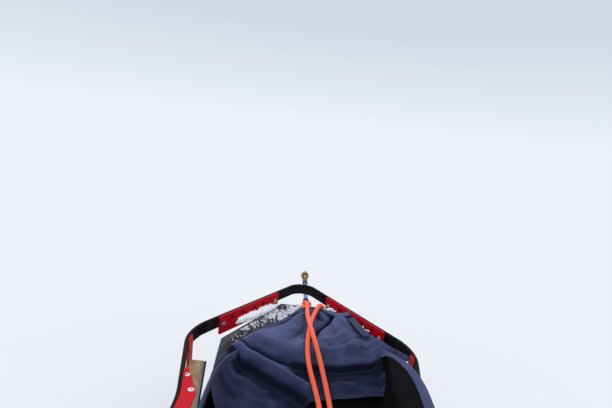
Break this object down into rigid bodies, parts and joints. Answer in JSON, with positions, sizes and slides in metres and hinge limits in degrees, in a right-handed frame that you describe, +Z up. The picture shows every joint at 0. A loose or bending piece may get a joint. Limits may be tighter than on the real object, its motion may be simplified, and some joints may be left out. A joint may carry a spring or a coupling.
{
  "type": "dog sled",
  "caption": "Toboggan-style dog sled with ash runners, a black brush bow with red plates, a navy canvas bag, leaning handlebar, claw brake, drag mat and tow loop with snap.",
  "frame": {"origin": "on the ground under the middle of the sled's length, from runner tails to tow snap, hand rope aside", "axes": "+Y forward, the way the sled is pulled, +X to its right, +Z up"},
  "size_m": [0.5368, 2.89, 1.0214],
  "materials": {
    "ash": "oiled laminated ash with fine grain and glue lines",
    "rail_aluminium": "brushed and scuffed",
    "sole_plastic": "black runner plastic, scratched along its length",
    "bow_plastic": "black strip with a soft sheen and frost on it",
    "bed_plastic": "dark grey sheet dusted with snow crystals",
    "red_plate": "red coat, scuffed and snow-dusted",
    "black_rubber": "matt moulded rubber",
    "dark_steel": "dark worn steel",
    "bare_steel": "brushed steel",
    "bronze": "worn cast bronze",
    "navy_canvas": "navy woven canvas with soft folds",
    "pad_fabric": "charcoal coated fabric over foam",
    "orange_rope": "coral orange braided rope",
    "blue_rope": "thin braided blue cord flecked with white",
    "dark_rope": "dark braided rope"
  },
  "bodies": {
    "sled": {"runner_left": "ash", "runner_right": "ash", "side_rail_left": "ash", "side_rail_right": "ash", "stanchion_front_left": "ash", "stanchion_front_right": "ash", "stanchion_mid_left": "ash", "stanchion_mid_right": "ash", "cross_bar_front": "ash", "cross_bar_mid": "ash", "cross_bar_rear": "ash", "handlebar": "ash", "handlebar_slat": "ash", "runner_rail_left": "rail_aluminium", "runner_rail_right": "rail_aluminium", "foot_brackets_left": "rail_aluminium", "foot_brackets_right": "rail_aluminium", "handlebar_socket_left": "rail_aluminium", "handlebar_socket_right": "rail_aluminium", "runner_sole_left": "sole_plastic", "runner_sole_right": "sole_plastic", "brush_bow": "bow_plastic", "bed_sheet": "bed_plastic", "front_plate_left": "red_plate", "front_plate_right": "red_plate", "side_plate_left": "red_plate", "side_plate_right": "red_plate", "tip_plate_left": "red_plate", "tip_plate_right": "red_plate", "foot_pad_left": "black_rubber", "foot_pad_right": "black_rubber", "handlebar_grip": "black_rubber", "brake_axle": "dark_steel", "brake_springs": "dark_steel", "tow_ring": "dark_steel", "stay_left": "bare_steel", "stay_right": "bare_steel", "tow_snap": "bronze", "bag": "navy_canvas", "seat_pad": "pad_fabric", "backrest": "pad_fabric", "hand_rope": "orange_rope", "tow_loop": "blue_rope", "bridle": "dark_rope"},
    "brake": {"brake_frame": "bare_steel", "brake_claws": "bare_steel"},
    "mat": {"drag_mat": "black_rubber", "drag_mat_arms": "dark_steel"}
  },
  "joints": [
    {"name": "brake_pivot", "type": "hinge", "parent": "sled", "child": "brake", "pos_m": [0, -0.613, 0.098], "axis": [1, 0, 0], "range_deg": [0, 30], "stiffness_Nm_per_rad": 8, "springref_deg": -34.38},
    {"name": "mat_pivot", "type": "hinge", "parent": "sled", "child": "mat", "pos_m": [0, -0.613, 0.098], "axis": [-1, 0, 0], "range_deg": [0, 65]}
  ]
}
